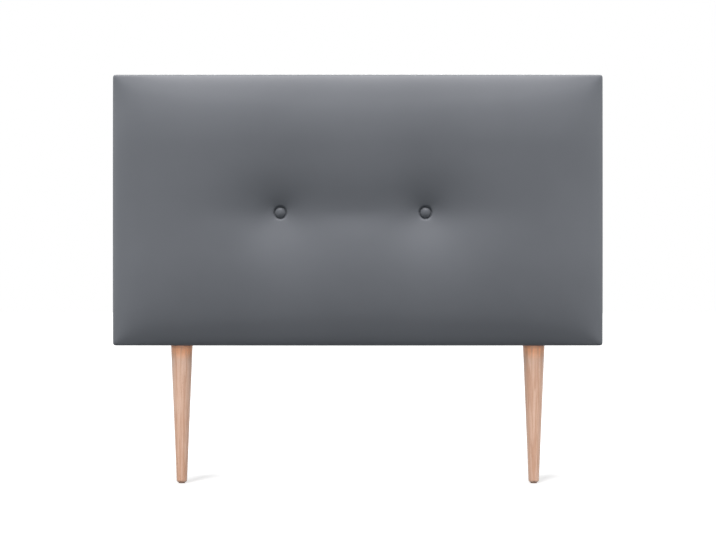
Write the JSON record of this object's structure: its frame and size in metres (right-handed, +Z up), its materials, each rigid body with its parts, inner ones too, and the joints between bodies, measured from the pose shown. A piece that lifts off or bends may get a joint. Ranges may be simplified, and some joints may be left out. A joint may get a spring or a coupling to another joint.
{
  "type": "upholstered headboard",
  "caption": "Low wide upholstered headboard panel with deep covered buttons, standing on round tapered wooden legs that screw into its frame, with keyhole plates for the wall.",
  "frame": {"origin": "on the floor, under the middle of the headboard's box", "axes": "+X along the headboard, to the right of someone facing it; +Y from its front to the wall; +Z up"},
  "size_m": [1, 0.0844, 0.836],
  "materials": {
    "leatherette": "satin grained faux leather, mid grey",
    "button_leatherette": "the same faux leather, pulled tight over the button",
    "foam": "open-cell foam, cream",
    "non_woven": "black non-woven cloth",
    "twine": "waxed twine",
    "pine": "planed, unfinished",
    "hardboard": "smooth hardboard, brown",
    "beech": "turned, clear satin lacquer",
    "zinc_steel": "bright zinc plated",
    "bolt_steel": "yellow zinc plated",
    "plate_steel": "bright zinc plated",
    "toggle_plastic": "natural white",
    "nylon": "dark brown nylon"
  },
  "bodies": {
    "panel": {"top_rail": "pine", "bottom_rail": "pine", "left_stile": "pine", "right_stile": "pine", "centre_stile": "pine", "frame_screws": "zinc_steel", "front_board": "hardboard", "board_staples": "zinc_steel", "foam_pad": "foam", "cover": "leatherette", "cover_staples": "zinc_steel", "back_cloth": "non_woven", "cloth_staples": "zinc_steel", "left_button": "button_leatherette", "right_button": "button_leatherette", "left_button_back": "zinc_steel", "right_button_back": "zinc_steel", "left_twine": "twine", "right_twine": "twine", "left_toggle": "toggle_plastic", "right_toggle": "toggle_plastic", "left_tee_nut": "zinc_steel", "right_tee_nut": "zinc_steel", "left_hanger_plate": "plate_steel", "right_hanger_plate": "plate_steel", "hanger_screws": "zinc_steel"},
    "left_bolt": {"left_leg_bolt": "bolt_steel"},
    "left_leg": {"left_leg": "beech", "left_glide": "nylon", "left_glide_nail": "zinc_steel"},
    "right_bolt": {"right_leg_bolt": "bolt_steel"},
    "right_leg": {"right_leg": "beech", "right_glide": "nylon", "right_glide_nail": "zinc_steel"}
  },
  "joints": [
    {"name": "left_leg_travel", "type": "slide", "parent": "panel", "child": "left_bolt", "axis": [0, 0, -1], "range_m": [0, 0.01376]},
    {"name": "left_leg_turn", "type": "hinge", "parent": "left_bolt", "child": "left_leg", "pos_m": [-0.361, 0.01625, 0.283], "axis": [0, 0, -1], "range_deg": [0, 3960]},
    {"name": "right_leg_travel", "type": "slide", "parent": "panel", "child": "right_bolt", "axis": [0, 0, -1], "range_m": [0, 0.01376]},
    {"name": "right_leg_turn", "type": "hinge", "parent": "right_bolt", "child": "right_leg", "pos_m": [0.361, 0.01625, 0.283], "axis": [0, 0, -1], "range_deg": [0, 3960]}
  ],
  "couplings": [
    {"joint": "left_leg_travel", "follows": "left_leg_turn", "m_per_rad": 0.00019894},
    {"joint": "right_leg_travel", "follows": "right_leg_turn", "m_per_rad": 0.00019894}
  ]
}
